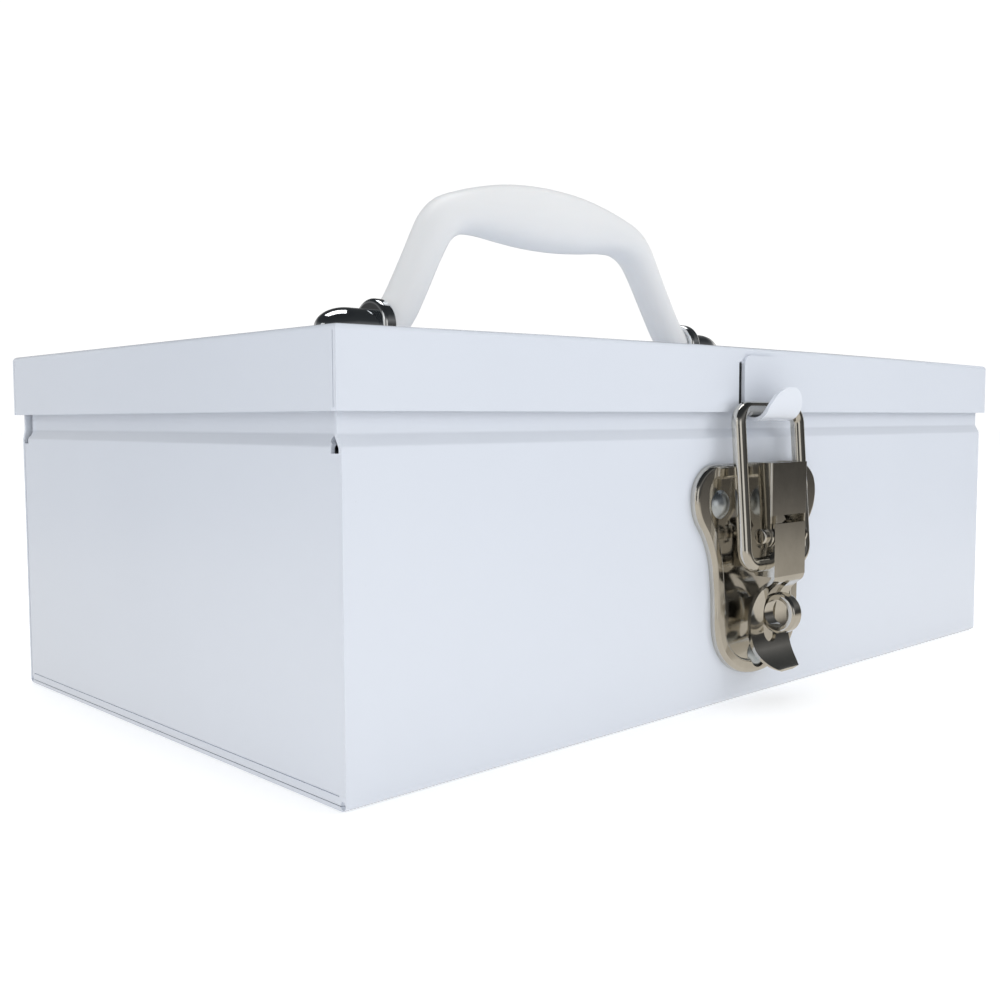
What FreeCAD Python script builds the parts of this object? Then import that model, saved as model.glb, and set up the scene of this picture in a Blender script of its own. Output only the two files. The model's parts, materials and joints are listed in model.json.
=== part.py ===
import FreeCAD, Part
import math
import os

V = FreeCAD.Vector

# ---------------------------------------------------------------------------
# Steel sewing box with a rear-hinged lid, a front draw latch, a carrying
# handle and two trays that rise on parallel arms as the lid opens.
# Millimetres. Origin: middle of the base on the standing surface.
# +X along the length (to the right seen from the front), -Y is the front
# (latch side), +Z up.
# ---------------------------------------------------------------------------

# overall
L_BODY = 306.0          # body length over the end panels
W_BODY = 173.0          # body depth front to back
H_BOX = 104.4           # height over the closed lid at its corners
T = 1.0                 # enamelled sheet thickness
LID_OVER_X = 2.0        # lid stands proud of the body ends
LID_OVER_Y = 1.2        # lid stands proud of front and back
SKIRT = 18.2            # height of the lid skirt
CROWN = 0.9             # rise of the lid top at mid length
RIM_Z = 100.0           # top of the body walls, inside the lid
JOG = 1.5               # inward joggle of the body walls below the lid
JOG_Z0 = 78.6           # joggle starts
JOG_Z1 = 81.4           # joggle ends
R_BEND = 1.6            # outside bend radius of the wrap at the base
SLOT_Z = 77.2           # foot of the open slot at each upper corner
SLOT_Y = 82.6           # end panels stop here above SLOT_Z

# latch
LX = -1.5               # latch centre line
YF = -W_BODY / 2        # front face of the body
PLATE_T = 0.8            # plate sheet
FIELD_D = 1.4            # the flat field stands this far off the body
RIM_D = 2.5             # height of the rolled rim of the latch plate
RIM_W = 4.3
PIV_D, PIV_Z = 9.3, 50.0        # lever pivot: distance from the front face, height
HOLE_D, HOLE_Z = 7.9, 41.6      # bail pivot in the lever
HOUS_X, HOUS_D = 9.3, 12.5      # half width and depth of the housing
HOUS_Z0, HOUS_Z1 = 56.1, 71.5
LEV_X, LEV_D = 8.1, 12.8        # half width and depth of the lever
LEV_Z0, LEV_Z1 = 37.0, 53.7
TG_X = 8.6              # half width of the lid tongue
SLIT_L, SLIT_R, SLIT_Z = 1.5, 0.5, 101.0   # slits beside the tongue
PIN_R = 1.5
WIRE_R = 2.1
BAIL_X = 15.4
BAR_D, BAR_Z = 4.6, 87.2
EYE_D, EYE_Z = 9.9, 26.6       # padlock eye centre
EYE_R, EYE_HOLE, EYE_T = 6.1, 4.15, 4.6
RUN = 0.05              # radial running clearance of the pivots

# handle
HP_Z = 113.1            # handle pivot height
HCX = -1.6              # the handle sits this far off the middle, like the latch
HP_LEAN = 3.5           # the upright handle leans back by this many degrees
STUB_R = 5.85            # foot of the grip and round stub in the collar
STUB_X = 77.6
FOOT_X = 73.3            # the grip's feet end just inside the collars
HPIN_R = 3.95
HPIN_X = 86.0
COLLAR_X0, COLLAR_X1, COLLAR_R = 73.6, 78.6, 8.35
DOME_R, DOME_Z, DOME_X = 6.6, 111.5, 98.0

# lid hinge
HG_Y, HG_Z = 90.2, 86.2
HG_R, HG_PIN = 2.2, 1.2
HG_LEN = 44.0
HG_X = 92.0             # hinge centres at +-HG_X

# trays and arms
A0 = 9.0                # arm angle at rest, above the horizontal, pointing to the front
RU, RL = 60.0, 37.0     # arm lengths, upper and lower tray
ARM_W, ARM_T = 7.0, 1.2
XA, XK, XB = 148.4, 146.8, 145.2   # inner faces of the three arm planes
TRAY_X = 144.4          # tray half length
STUD_R = 2.0
PU = ((2.0, 84.4), (62.0, 84.4))   # case pivots of the upper arms (y, z)
PL = ((5.5, 60.2), (60.5, 60.2))  # case pivots of the lower arms
UT_Y, UT_Z = (-83.0, 33.4), (76.0, 97.2)
LT_Y, LT_Z = (-83.0, 33.4), (49.0, 71.6)
TRAY_T = 1.0
LINK_R = 19.8           # lift link pivots at this distance along the arm direction


def box(x0, x1, y0, y1, z0, z1):
    return Part.makeBox(x1 - x0, y1 - y0, z1 - z0, V(x0, y0, z0))


def cyl_x(r, x0, x1, y, z):
    return Part.makeCylinder(r, x1 - x0, V(x0, y, z), V(1, 0, 0))


def cyl_y(r, y0, y1, x, z):
    return Part.makeCylinder(r, y1 - y0, V(x, y0, z), V(0, 1, 0))


def cyl_z(r, z0, z1, x, y):
    return Part.makeCylinder(r, z1 - z0, V(x, y, z0), V(0, 0, 1))


def prism_x(pts, x0, x1):
    w = Part.makePolygon([V(x0, y, z) for y, z in pts] + [V(x0, pts[0][0], pts[0][1])])
    return Part.Face(w).extrude(V(x1 - x0, 0, 0))


def prism_y(pts, y0, y1):
    w = Part.makePolygon([V(x, y0, z) for x, z in pts] + [V(pts[0][0], y0, pts[0][1])])
    return Part.Face(w).extrude(V(0, y1 - y0, 0))


def fuse(shapes):
    s = shapes[0]
    if len(shapes) > 1:
        s = s.multiFuse(shapes[1:]).removeSplitter()
    return s


def mirror_x(s):
    return s.mirror(V(0, 0, 0), V(1, 0, 0))


def fillet(s, r, pick):
    edges = [e for e in s.Edges if pick(e)]
    if not edges:
        return s
    for k in (1.0, 0.8, 0.6):
        try:
            f = s.makeFillet(r * k, edges)
            if f.isValid() and f.Volume > 0:
                return f
        except Exception:
            pass
    print("no fillet", r)
    return s


os.makedirs("parts", exist_ok=True)
count = 0


def save(name, *solids):
    global count
    out = []
    for s in solids:
        out += s.Solids
    shape = out[0] if len(out) == 1 else Part.makeCompound(out)
    for s in out:
        if not s.isValid():
            print("INVALID", name)
    shape.exportStep("parts/%s.step" % name)
    count += 1
    b = shape.BoundBox
    print("%-26s %2d solids  vol %9.1f  x %.1f..%.1f y %.1f..%.1f z %.1f..%.1f" % (
        name, len(out), shape.Volume, b.XMin, b.XMax, b.YMin, b.YMax, b.ZMin, b.ZMax))


hx, hy = L_BODY / 2, W_BODY / 2

# ---------------------------------------------------------------------------
# body: one sheet bent into front, base and back; raw edges show at the ends
# ---------------------------------------------------------------------------
outer = [(-hy + JOG, RIM_Z), (-hy + JOG, JOG_Z1), (-hy, JOG_Z0), (-hy, 0), (hy, 0), (hy, JOG_Z0),
         (hy - JOG, JOG_Z1), (hy - JOG, RIM_Z)]
inner = [(hy - JOG - T, RIM_Z), (hy - JOG - T, JOG_Z1 - 0.3), (hy - T, JOG_Z0 - 0.3), (hy - T, T),
         (-hy + T, T), (-hy + T, JOG_Z0 - 0.3), (-hy + JOG + T, JOG_Z1 - 0.3), (-hy + JOG + T, RIM_Z)]
wrap = prism_x(outer + inner, -hx, hx)


def along_x(e):
    v = e.Vertexes
    return len(v) == 2 and abs(v[0].X - v[1].X) > 200


wrap = fillet(wrap, R_BEND, lambda e: along_x(e) and abs(e.Vertexes[0].Z) < 0.01)
wrap = fillet(wrap, R_BEND - T, lambda e: along_x(e) and abs(e.Vertexes[0].Z - T) < 0.01)
wrap = fillet(wrap, 1.2, lambda e: along_x(e) and (abs(e.Vertexes[0].Z - JOG_Z0) < 0.01 or abs(e.Vertexes[0].Z - JOG_Z1) < 0.01))

# rivet positions of the latch plate
RIV = ((-19.0, 59.5), (19.0, 59.5), (0.0, 13.4))
for x, z in RIV:
    wrap = wrap.cut(cyl_y(2.02, -hy - 3, -hy + 3, LX + x, z))

# the hinge rivets go through the back wall
HR = []
for s in (-1, 1):
    for dx in (-14.0, 14.0):
        HR.append(s * HG_X + dx)
HRZ_BODY, HRZ_LID = 70.0, 96.8
for x in HR:
    wrap = wrap.cut(cyl_y(1.62, hy - 3, hy + 3, x, HRZ_BODY))

# small weld-relief notches at the four lower corners
for sx in (-1, 1):
    for sy in (-1, 1):
        wrap = wrap.cut(Part.makeSphere(0.95, V(sx * hx, sy * (hy - 1.15), 1.3)))
save("body_wrap", wrap)

# ---------------------------------------------------------------------------
# end panels, set between the front and back walls
# ---------------------------------------------------------------------------
ex = hx - 0.1
prof = [(ex, T + 0.15), (ex, JOG_Z0), (ex - JOG, JOG_Z1), (ex - JOG, RIM_Z), (ex - JOG - T, RIM_Z),
        (ex - JOG - T, JOG_Z1 - 0.3), (ex - T, JOG_Z0 - 0.3), (ex - T, T + 0.15)]
ye = hy - T - 0.15
panel = prism_y(prof, -ye, ye)
for sy in (-1, 1):
    panel = panel.cut(box(ex - 6, ex + 3, min(sy * SLOT_Y, sy * 90), max(sy * SLOT_Y, sy * 90), SLOT_Z, RIM_Z + 1))
    # nick in the side of the slot
    panel = panel.cut(cyl_x(0.9, ex - 6, ex + 3, sy * SLOT_Y, 80.2))
panel = fillet(panel, 1.0, lambda e: len(e.Vertexes) == 2 and abs(e.Vertexes[0].Y - e.Vertexes[1].Y) > 120
               and (abs(e.Vertexes[0].Z - JOG_Z0) < 0.01 or abs(e.Vertexes[0].Z - JOG_Z1) < 0.01)
               and abs(e.Vertexes[0].X) > ex - JOG - 0.01)
flanges = []
for sy in (-1, 1):
    y0, y1 = sorted((sy * (hy - T - 0.05), sy * (hy - 2 * T - 0.05)))
    flanges.append(box(ex - 9, ex - T + 0.01, y0, y1, T + 0.15, SLOT_Z - 1.2))
flanges.append(box(ex - 9, ex - T + 0.01, -ye, ye, T + 0.05, 2 * T + 0.05))
panel = fuse([panel] + flanges)
# folded hem along the foot, seen as a fine groove
panel = panel.cut(box(ex - 0.35, ex + 1, -ye + 1.5, ye - 1.5, 3.0, 3.3))
for sy in (-1, 1):
    panel = panel.cut(Part.makeSphere(0.95, V(hx, sy * (hy - 1.15), 1.3)))
save("end_panel_right", panel)
save("end_panel_left", mirror_x(panel))

# ---------------------------------------------------------------------------
# lid: shoebox form with a slight crown along its length
# ---------------------------------------------------------------------------
lx, ly = hx + LID_OVER_X, hy + LID_OVER_Y
z0 = H_BOX - SKIRT


def crowned(hlx, hly, zb, zt, crown):
    a = Part.Arc(V(-hlx, -hly, zt), V(0, -hly, zt + crown), V(hlx, -hly, zt)).toShape()
    pts = [V(hlx, -hly, zt), V(hlx, -hly, zb), V(-hlx, -hly, zb), V(-hlx, -hly, zt)]
    es = [a] + [Part.makeLine(pts[i], pts[i + 1]) for i in range(3)]
    return Part.Face(Part.Wire(Part.__sortEdges__(es))).extrude(V(0, 2 * hly, 0))


lid_outer = crowned(lx, ly, z0, H_BOX, CROWN)
lid_block = crowned(lx, ly, z0, H_BOX, CROWN)
lid_outer = fillet(lid_outer, 1.3, lambda e: e.BoundBox.ZMin > H_BOX - 0.01)
lid_inner = crowned(lx - T, ly - T, z0 - 1, H_BOX - T, CROWN)
lid = lid_outer.cut(lid_inner)
# the end skirts butt against the front and back skirts: a fine seam
for sx in (-1, 1):
    for sy in (-1, 1):
        x0, x1 = sorted((sx * (lx - 0.45), sx * (lx + 1)))
        y0, y1 = sorted((sy * (ly - T - 0.22), sy * (ly - T)))
        lid = lid.cut(box(x0, x1, y0, y1, z0 - 1, H_BOX - 1.4))
        lid = lid.cut(Part.makeSphere(0.8, V(sx * lx, sy * (ly - T), z0)))
BR = (82.4, 93.0)       # bracket rivets
for sx in (-1, 1):
    for x in BR:
        lid = lid.cut(cyl_z(1.55, H_BOX - 4, H_BOX + 4, HCX + sx * x, 0))
for x in HR:
    lid = lid.cut(cyl_y(1.62, ly - 4, ly + 4, x, HRZ_LID))
# the tongue is lanced: open slits run up beside it
for xa, w in ((LX - TG_X - SLIT_L, SLIT_L), (LX + TG_X, SLIT_R)):
    lid = lid.cut(box(xa, xa + w, -ly - 1, -ly + T + 1, z0 - 2, SLIT_Z - w / 2))
    lid = lid.cut(cyl_y(w / 2, -ly - 1, -ly + T + 1, xa + w / 2, SLIT_Z - w / 2))
save("lid_shell", lid)

# ---------------------------------------------------------------------------
# tongue on the front of the lid: flat pad, then a half-round lip curled
# outwards and up; the bail bar lies in the curl
# ---------------------------------------------------------------------------


def dz(d, z, x=0.0):
    return V(x, YF - d, z)


do = LID_OVER_Y
tg_t = 1.0
path_in = [(do + tg_t, 89.0), (do + tg_t, 87.2), (do + tg_t + 0.5, 85.7), (4.9, 84.65), (7.6, 85.2), (9.8, 88.0), (11.0, 91.2), (11.7, 93.2)]
path_out = [(do + 0.02, 89.0), (do + 0.02, 87.0), (do + 0.6, 85.0), (4.6, 83.55), (8.0, 84.15), (10.7, 87.5), (11.95, 91.0), (12.7, 93.3)]


def spline(pts, x):
    b = Part.BSplineCurve()
    b.interpolate([dz(d, z, x) for d, z in pts])
    return b.toShape()


x0 = LX - TG_X
es = [spline(path_in, x0), Part.makeLine(dz(*path_in[-1], x0), dz(*path_out[-1], x0)),
      spline(path_out, x0), Part.makeLine(dz(*path_out[0], x0), dz(*path_in[0], x0))]
curl = Part.Face(Part.Wire(Part.__sortEdges__(es))).extrude(V(2 * TG_X, 0, 0))
ell = Part.Ellipse(V(LX, YF - 30, 85.0), TG_X + 0.3, 8.5)
ew = Part.Wire([ell.toShape()])
ew.rotate(V(LX, YF - 30, 85.0), V(1, 0, 0), 90)
ell_solid = Part.Face(ew).extrude(V(0, 40, 0))
keep_low = box(LX - 12, LX + 12, YF - 30, YF, 80, 85.0)
keep_in = box(LX - 12, LX + 12, YF - 4.3, YF + 1, 80, 95)
curl = curl.common(fuse([ell_solid, keep_low, keep_in]))
pad = box(LX - TG_X, LX + TG_X, YF - do - tg_t, YF - do - 0.02, 88.9, H_BOX - 1.5)
pad = fillet(pad, 3.2, lambda e: abs(e.BoundBox.YMax - e.BoundBox.YMin) > 0.5 and e.BoundBox.XMax - e.BoundBox.XMin < 0.01
             and e.BoundBox.ZMin > H_BOX - 1.6)
tongue = fuse([pad, curl])
tongue = fillet(tongue, 0.35, lambda e: e.BoundBox.ZMin > 90 and abs(e.BoundBox.YMax - (YF - do - tg_t)) < 0.01 and abs(e.BoundBox.YMin - (YF - do - tg_t)) < 0.01)
save("lid_tongue", tongue)

# ---------------------------------------------------------------------------
# latch plate: waisted plate with a rolled rim round a flat field
# ---------------------------------------------------------------------------
half = [(0.0, 71.3), (10.0, 71.3), (20.0, 71.2), (24.6, 70.6), (27.6, 69.0), (30.2, 66.2), (31.3, 62.8), (31.3, 60.0), (30.7, 57.2),
        (29.1, 54.0), (26.6, 50.8), (24.6, 47.2), (23.1, 43.4), (22.1, 38.0), (21.6, 33.3), (21.4, 28.6), (21.3, 24.2),
        (20.8, 20.8), (19.6, 17.4), (17.3, 14.2), (14.0, 11.3), (10.0, 9.2), (5.0, 7.9), (0.0, 7.5)]

# the field is drawn in further at the two upper lobes
half_in = [(x - 1.8 * max(0.0, (x - 23.0) / 8.3), z) for x, z in half]


def outline(pts, off):
    """Closed list of points, moved inwards by off."""
    full = pts[:] + [(-x, z) for x, z in reversed(pts[1:-1])]
    n = len(full)
    out = []
    for i in range(n):
        (x0, z0_), (x1, z1) = full[i - 1], full[(i + 1) % n]
        tx, tz = x1 - x0, z1 - z0_
        m = math.hypot(tx, tz)
        nx, nz = -tz / m, tx / m      # outward for a clockwise outline
        out.append((full[i][0] - nx * off, full[i][1] - nz * off))
    return out


def plate_solid(off, d0, d1):
    b = Part.BSplineCurve()
    b.interpolate([V(LX + x, YF - d0, z) for x, z in outline(half if off < 1 else half_in, off)], PeriodicFlag=True)
    f = Part.Face(Part.Wire([b.toShape()]))
    return f.extrude(V(0, -(d1 - d0), 0))


plate = plate_solid(0.0, 0.02, RIM_D)
plate = fillet(plate, 1.4, lambda e: abs(e.BoundBox.YMin - (YF - RIM_D)) < 0.01 and abs(e.BoundBox.YMax - (YF - RIM_D)) < 0.01)
plate = plate.cut(plate_solid(RIM_W, FIELD_D, RIM_D + 1))
plate = plate.cut(plate_solid(RIM_W + 0.9, -1, FIELD_D - PLATE_T))   # pressed up: hollow behind the field
plate = fillet(plate, 0.9, lambda e: abs(e.BoundBox.YMin - (YF - RIM_D)) < 0.02 and abs(e.BoundBox.YMax - (YF - RIM_D)) < 0.02
               and e.BoundBox.XLength < 2 * (31.3 - 2))
for x, z in RIV:
    plate = plate.cut(cyl_y(2.02, YF - 5, YF + 1, LX + x, z))
plate = plate.cut(cyl_y(4.3, YF - RIM_D - 1, YF - FIELD_D, LX + RIV[2][0], RIV[2][1]))   # room for the lower rivet head
save("latch_plate", plate)

# domed rivets
rivs = []
for x, z in RIV:
    R = 5.3
    h = 2.1
    cap = Part.makeSphere(R, dz(FIELD_D + h - R, z, LX + x)).common(
        box(LX + x - 6, LX + x + 6, YF - FIELD_D - h - 1, YF - FIELD_D - 0.02, z - 6, z + 6))
    shank = cyl_y(2.0, YF - FIELD_D - 0.03, YF + T + 0.5, LX + x, z)
    tail = cyl_y(3.3, YF + T + 0.02, YF + T + 0.9, LX + x, z)
    rivs.append(fuse([cap, shank, tail]))
save("latch_rivets", *rivs)

# ---------------------------------------------------------------------------
# latch housing: bridge channel with ears that carry the lever pivot
# ---------------------------------------------------------------------------
ear_t = 0.8


def ear(xa, xb):
    # full depth above, drawn in to a round lug on the pivot below, so that the
    # ends of the bail swing past in front of it
    e = prism_x([(YF - d, z) for d, z in ((FIELD_D + 0.02, 66.5), (RIM_D + 0.03, 66.6), (RIM_D + 0.03, HOUS_Z1), (HOUS_D, HOUS_Z1), (HOUS_D, 58.2), (12.1, 57.2), (11.9, PIV_Z + 2.4), (PIV_D, PIV_Z - 1.0), (6.6, PIV_Z + 2.4), (3.6, 57.6), (FIELD_D + 0.02, 58.6))], xa, xb)
    lobe = cyl_x(3.55, xa, xb, YF - PIV_D, PIV_Z)
    return e.fuse(lobe).removeSplitter()


er = ear(HOUS_X - ear_t, HOUS_X)
web = box(-HOUS_X, HOUS_X, YF - HOUS_D, YF - HOUS_D + 1.0, HOUS_Z0, HOUS_Z1)
foot = box(-HOUS_X, HOUS_X, YF - FIELD_D - 0.8, YF - FIELD_D - 0.02, 58.6, 66.5)
housing = fuse([er, mirror_x(er), web, foot])
housing = fillet(housing, 0.9, lambda e: e.BoundBox.ZLength > 10 and abs(abs(e.Vertexes[0].X) - HOUS_X) < 0.01 and abs(e.Vertexes[0].Y - (YF - HOUS_D)) < 0.01
                 and e.BoundBox.YLength < 0.01)
housing = housing.cut(cyl_x(PIN_R + 0.02, -20, 20, YF - PIV_D, PIV_Z))
housing.translate(V(LX, 0, 0))
save("latch_housing", housing)

pin = fuse([cyl_x(PIN_R, -HOUS_X - 0.05, HOUS_X + 0.05, YF - PIV_D, PIV_Z),
            cyl_x(2.3, HOUS_X + 0.02, HOUS_X + 1.3, YF - PIV_D, PIV_Z), cyl_x(2.3, -HOUS_X - 1.3, -HOUS_X - 0.02, YF - PIV_D, PIV_Z)])
pin = fillet(pin, 0.5, lambda e: e.BoundBox.XLength < 0.01 and abs(e.BoundBox.ZLength - 4.6) < 0.05 and abs(abs(e.BoundBox.XMin) - HOUS_X - 1.3) < 0.01)
pin.translate(V(LX, 0, 0))
save("lever_pivot_pin", pin)

# padlock eye: thick ring standing out of the plate through the lever's slot
eye = cyl_x(EYE_R, -EYE_T / 2, EYE_T / 2, YF - EYE_D, EYE_Z)
eye = fillet(eye, 1.1, lambda e: e.BoundBox.XLength < 0.01)
stem = box(-EYE_T / 2 + 0.3, EYE_T / 2 - 0.3, YF - EYE_D + 3.5, YF - FIELD_D - 0.02, EYE_Z - 3.4, EYE_Z + 3.4)
eye = fuse([eye, stem])
eye = eye.cut(cyl_x(EYE_HOLE, -5, 5, YF - EYE_D, EYE_Z))
eye.translate(V(LX, 0, 0))
save("padlock_eye", eye)

# ---------------------------------------------------------------------------
# lever: channel with side flanges, running down into a curved thumb tab
# ---------------------------------------------------------------------------
lt = 1.1
tab_out = [(LEV_D, LEV_Z0 + 1.2), (12.0, 36.4), (9.6, 34.6), (7.4, 31.8), (6.2, 28.2), (5.9, 24.0), (6.4, 19.6), (8.0, 15.2), (10.6, 12.2), (13.0, 10.5)]
n = len(tab_out)
tab_in = []
for i, (d, z) in enumerate(tab_out):
    (da, za), (db, zb) = tab_out[max(i - 1, 0)], tab_out[min(i + 1, n - 1)]
    m = math.hypot(db - da, zb - za)
    tab_in.append((d + lt * (zb - za) / m, z - lt * (db - da) / m))
tab_in[0] = (LEV_D - lt, LEV_Z0 + 1.2)
x0 = -10.0
es = [spline(tab_out, x0), Part.makeLine(dz(*tab_out[-1], x0), dz(*tab_in[-1], x0)), spline(tab_in, x0),
      Part.makeLine(dz(*tab_in[0], x0), dz(*tab_out[0], x0))]
tab = Part.Face(Part.Wire(Part.__sortEdges__(es))).extrude(V(20, 0, 0))
# outline of the tab seen from the front: rounded shield
tp = [(-8.0, 45.0), (-8.0, 37.0), (-8.4, 33.0), (-9.2, 28.0), (-9.6, 23.0), (-9.6, 18.5), (-8.7, 14.4), (-6.5, 11.3), (-3.6, 9.8), (0.0, 9.3)]
tp = tp + [(-x, z) for x, z in reversed(tp[:-1])]
b = Part.BSplineCurve()
b.interpolate([V(x, YF - 30, z) for x, z in tp])
shield = Part.Face(Part.Wire(Part.__sortEdges__([b.toShape(), Part.makeLine(V(tp[-1][0], YF - 30, tp[-1][1]), V(tp[0][0], YF - 30, tp[0][1]))]))).extrude(V(0, 32, 0))
tab = tab.common(shield)
slot = fuse([box(-3.1, 3.1, YF - 30, YF, 20.5, 33.5), cyl_y(3.1, YF - 30, YF, 0, 20.5), cyl_y(3.1, YF - 30, YF, 0, 33.5)])
tab = tab.cut(slot)
web = box(-LEV_X, LEV_X, YF - LEV_D, YF - LEV_D + lt, LEV_Z0 + 1.1, LEV_Z1)
fl_pts = [(LEV_D, LEV_Z1), (6.4, LEV_Z1), (4.8, 52.2), (4.8, 40.2), (6.4, LEV_Z0 + 1.1), (LEV_D, LEV_Z0 + 1.1)]
fr = prism_x([(YF - d, z) for d, z in fl_pts], LEV_X - 0.9, LEV_X)
lever = fuse([web, fr, mirror_x(fr), tab])
lever = fillet(lever, 0.8, lambda e: e.BoundBox.ZLength > 10 and e.BoundBox.YLength < 0.01 and abs(e.BoundBox.YMin - (YF - LEV_D)) < 0.01
               and abs(abs(e.BoundBox.XMin) - LEV_X) < 0.05)
lever = lever.cut(cyl_x(PIN_R + RUN, -20, 20, YF - PIV_D, PIV_Z))
lever = lever.cut(cyl_x(WIRE_R + RUN, -20, 20, YF - HOLE_D, HOLE_Z))
lever.translate(V(LX, 0, 0))
save("latch_lever", lever)

# ---------------------------------------------------------------------------
# bail: bent wire, ends turned inwards into the lever
# ---------------------------------------------------------------------------
tip_x = LEV_X - 1.6
P0 = dz(BAR_D, BAR_Z)
bp = [(-tip_x, HOLE_D, HOLE_Z), (-BAIL_X, HOLE_D, HOLE_Z), (-BAIL_X, BAR_D, BAR_Z), (BAIL_X, BAR_D, BAR_Z), (BAIL_X, HOLE_D, HOLE_Z), (tip_x, HOLE_D, HOLE_Z)]
bp = [dz(d, z, x) for x, d, z in bp]
rr = 4.6


def rounded(points, r):
    edges = []
    prev = points[0]
    for i in range(1, len(points) - 1):
        p, a, c = points[i], points[i - 1], points[i + 1]
        u = (a - p).normalize()
        w = (c - p).normalize()
        ang = u.getAngle(w)
        t = r / math.tan(ang / 2)
        s, e = p + u * t, p + w * t
        bis = (u + w).normalize()
        mid = p + bis * (r / math.sin(ang / 2) - r)
        edges.append(Part.makeLine(prev, s))
        edges.append(Part.Arc(s, mid, e).toShape())
        prev = e
    edges.append(Part.makeLine(prev, points[-1]))
    return Part.Wire(edges)


bw = rounded(bp, rr)
prof_c = Part.Wire([Part.Circle(bp[0], V(1, 0, 0), WIRE_R).toShape()])
bail = bw.makePipeShell([prof_c], True, False)
bail.translate(V(LX, 0, 0))
save("bail_wire", bail)
print("bail volume", bail.Volume, "expected", math.pi * WIRE_R ** 2 * bw.Length)

# ---------------------------------------------------------------------------
# handle: moulded grip on sloping legs, feet turned outwards into the collars
# ---------------------------------------------------------------------------
# stations from the right foot to the middle: x, z, half height across the
# path, half depth in Y
ST = [(FOOT_X, HP_Z, STUB_R, STUB_R), (70.9, 114.1, 6.0, 5.95), (68.4, 117.0, 6.2, 6.05), (65.4, 121.0, 6.15, 6.05),
      (61.2, 128.0, 6.1, 6.1), (56.8, 135.6, 6.1, 6.2), (52.8, 142.4, 6.3, 6.4), (49.8, 146.6, 6.6, 6.7), (45.6, 150.0, 6.9, 7.0),
      (39.5, 152.2, 7.0, 7.4), (31.0, 153.5, 8.1, 7.9), (20.5, 154.1, 9.7, 8.4), (10.0, 154.25, 10.65, 8.7), (0.0, 154.3, 10.95, 8.8)]
full = ST + [(-x, z, a, b_) for x, z, a, b_ in reversed(ST[:-1])]
wires = []
N = len(full)
for i, (x, z, a, b_) in enumerate(full):
    xa, za = full[max(i - 1, 0)][:2]
    xb, zb = full[min(i + 1, N - 1)][:2]
    t = V(xb - xa, 0, zb - za)
    if i in (0, N - 1):
        t = V(-1, 0, 0)
    t.normalize()
    up = V(-t.z, 0, t.x)
    yv = V(0, 1, 0)
    c = V(x, 0, z)
    pts = []
    K = 16
    for k in range(K):
        q = 2 * math.pi * k / K
        pts.append(c + up * (a * math.cos(q)) + yv * (b_ * math.sin(q)))
    bs = Part.BSplineCurve()
    bs.interpolate(pts, PeriodicFlag=True)
    wires.append(Part.Wire([bs.toShape()]))
grip = Part.makeLoft(wires, True, False, False)
holes = [cyl_x(2.5, FOOT_X - 3.9, FOOT_X + 1, 0, HP_Z), cyl_x(2.5, -FOOT_X - 1, -FOOT_X + 3.9, 0, HP_Z)]
for h in holes:
    grip = grip.cut(h)
grip.rotate(V(0, 0, HP_Z), V(1, 0, 0), -HP_LEAN)
grip.translate(V(HCX, 0, 0))
save("handle_grip", grip)
hp = fuse([cyl_x(2.48, FOOT_X - 3.8, STUB_X, 0, HP_Z), cyl_x(STUB_R, FOOT_X + 0.02, STUB_X, 0, HP_Z), cyl_x(HPIN_R, STUB_X - 0.5, HPIN_X, 0, HP_Z)])
hp2 = mirror_x(hp)
hp.translate(V(HCX, 0, 0))
hp2.translate(V(HCX, 0, 0))
save("handle_pivot_pins", hp, hp2)

# chrome end brackets on the lid
dome = cyl_x(DOME_R, COLLAR_X1 - 1.5, DOME_X - 11.0, 0, DOME_Z)
qa = Part.Ellipse(V(DOME_X - 11.0, 0, DOME_Z), 11.0, DOME_R)
arc_n = Part.ArcOfEllipse(qa, 0.0, math.pi / 2).toShape()
c0 = V(DOME_X - 11.0, 0, DOME_Z)
a_end, b_end = V(DOME_X, 0, DOME_Z), V(DOME_X - 11.0, DOME_R, DOME_Z)
e3 = Part.Face(Part.Wire(Part.__sortEdges__([arc_n, Part.makeLine(c0, a_end), Part.makeLine(c0, b_end)]))).revolve(c0, V(1, 0, 0), 360)
skirt_w = Part.Face(Part.Wire(Part.__sortEdges__([
    Part.makeLine(V(COLLAR_X1 - 1.5, -DOME_R, 104), V(DOME_X - 11.0, -DOME_R, 104)),
    Part.makeLine(V(COLLAR_X1 - 1.5, DOME_R, 104), V(DOME_X - 11.0, DOME_R, 104)),
    Part.makeLine(V(COLLAR_X1 - 1.5, -DOME_R, 104), V(COLLAR_X1 - 1.5, DOME_R, 104)),
    Part.Arc(V(DOME_X - 11.0, -DOME_R, 104), V(DOME_X - 11.0 + DOME_R * 1.35, 0, 104), V(DOME_X - 11.0, DOME_R, 104)).toShape()]))).extrude(V(0, 0, DOME_Z - 104))
collar = cyl_x(COLLAR_R, COLLAR_X0, COLLAR_X1, 0, HP_Z)
collar = fillet(collar, 1.5, lambda e: e.BoundBox.XLength < 0.01)
cfoot = box(COLLAR_X0 + 1.2, COLLAR_X1 - 0.2, -5.5, 5.5, 104, HP_Z - 4)
bracket = fuse([dome, e3, skirt_w, collar, cfoot])
bracket = bracket.cut(cyl_x(STUB_R + 0.15, COLLAR_X0 - 1, COLLAR_X1 - 0.2, 0, HP_Z))
bracket = bracket.cut(cyl_x(HPIN_R + RUN, COLLAR_X0 - 1, HPIN_X + 0.6, 0, HP_Z))
for nm, br in (("right", bracket), ("left", mirror_x(bracket))):
    br.translate(V(HCX, 0, 0))
    br = br.cut(lid_block)
    for x in BR:
        br = br.cut(cyl_z(1.55, 100, 108.6, HCX + (x if nm == "right" else -x), 0))
    save("handle_bracket_" + nm, br)
brs = []
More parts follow.
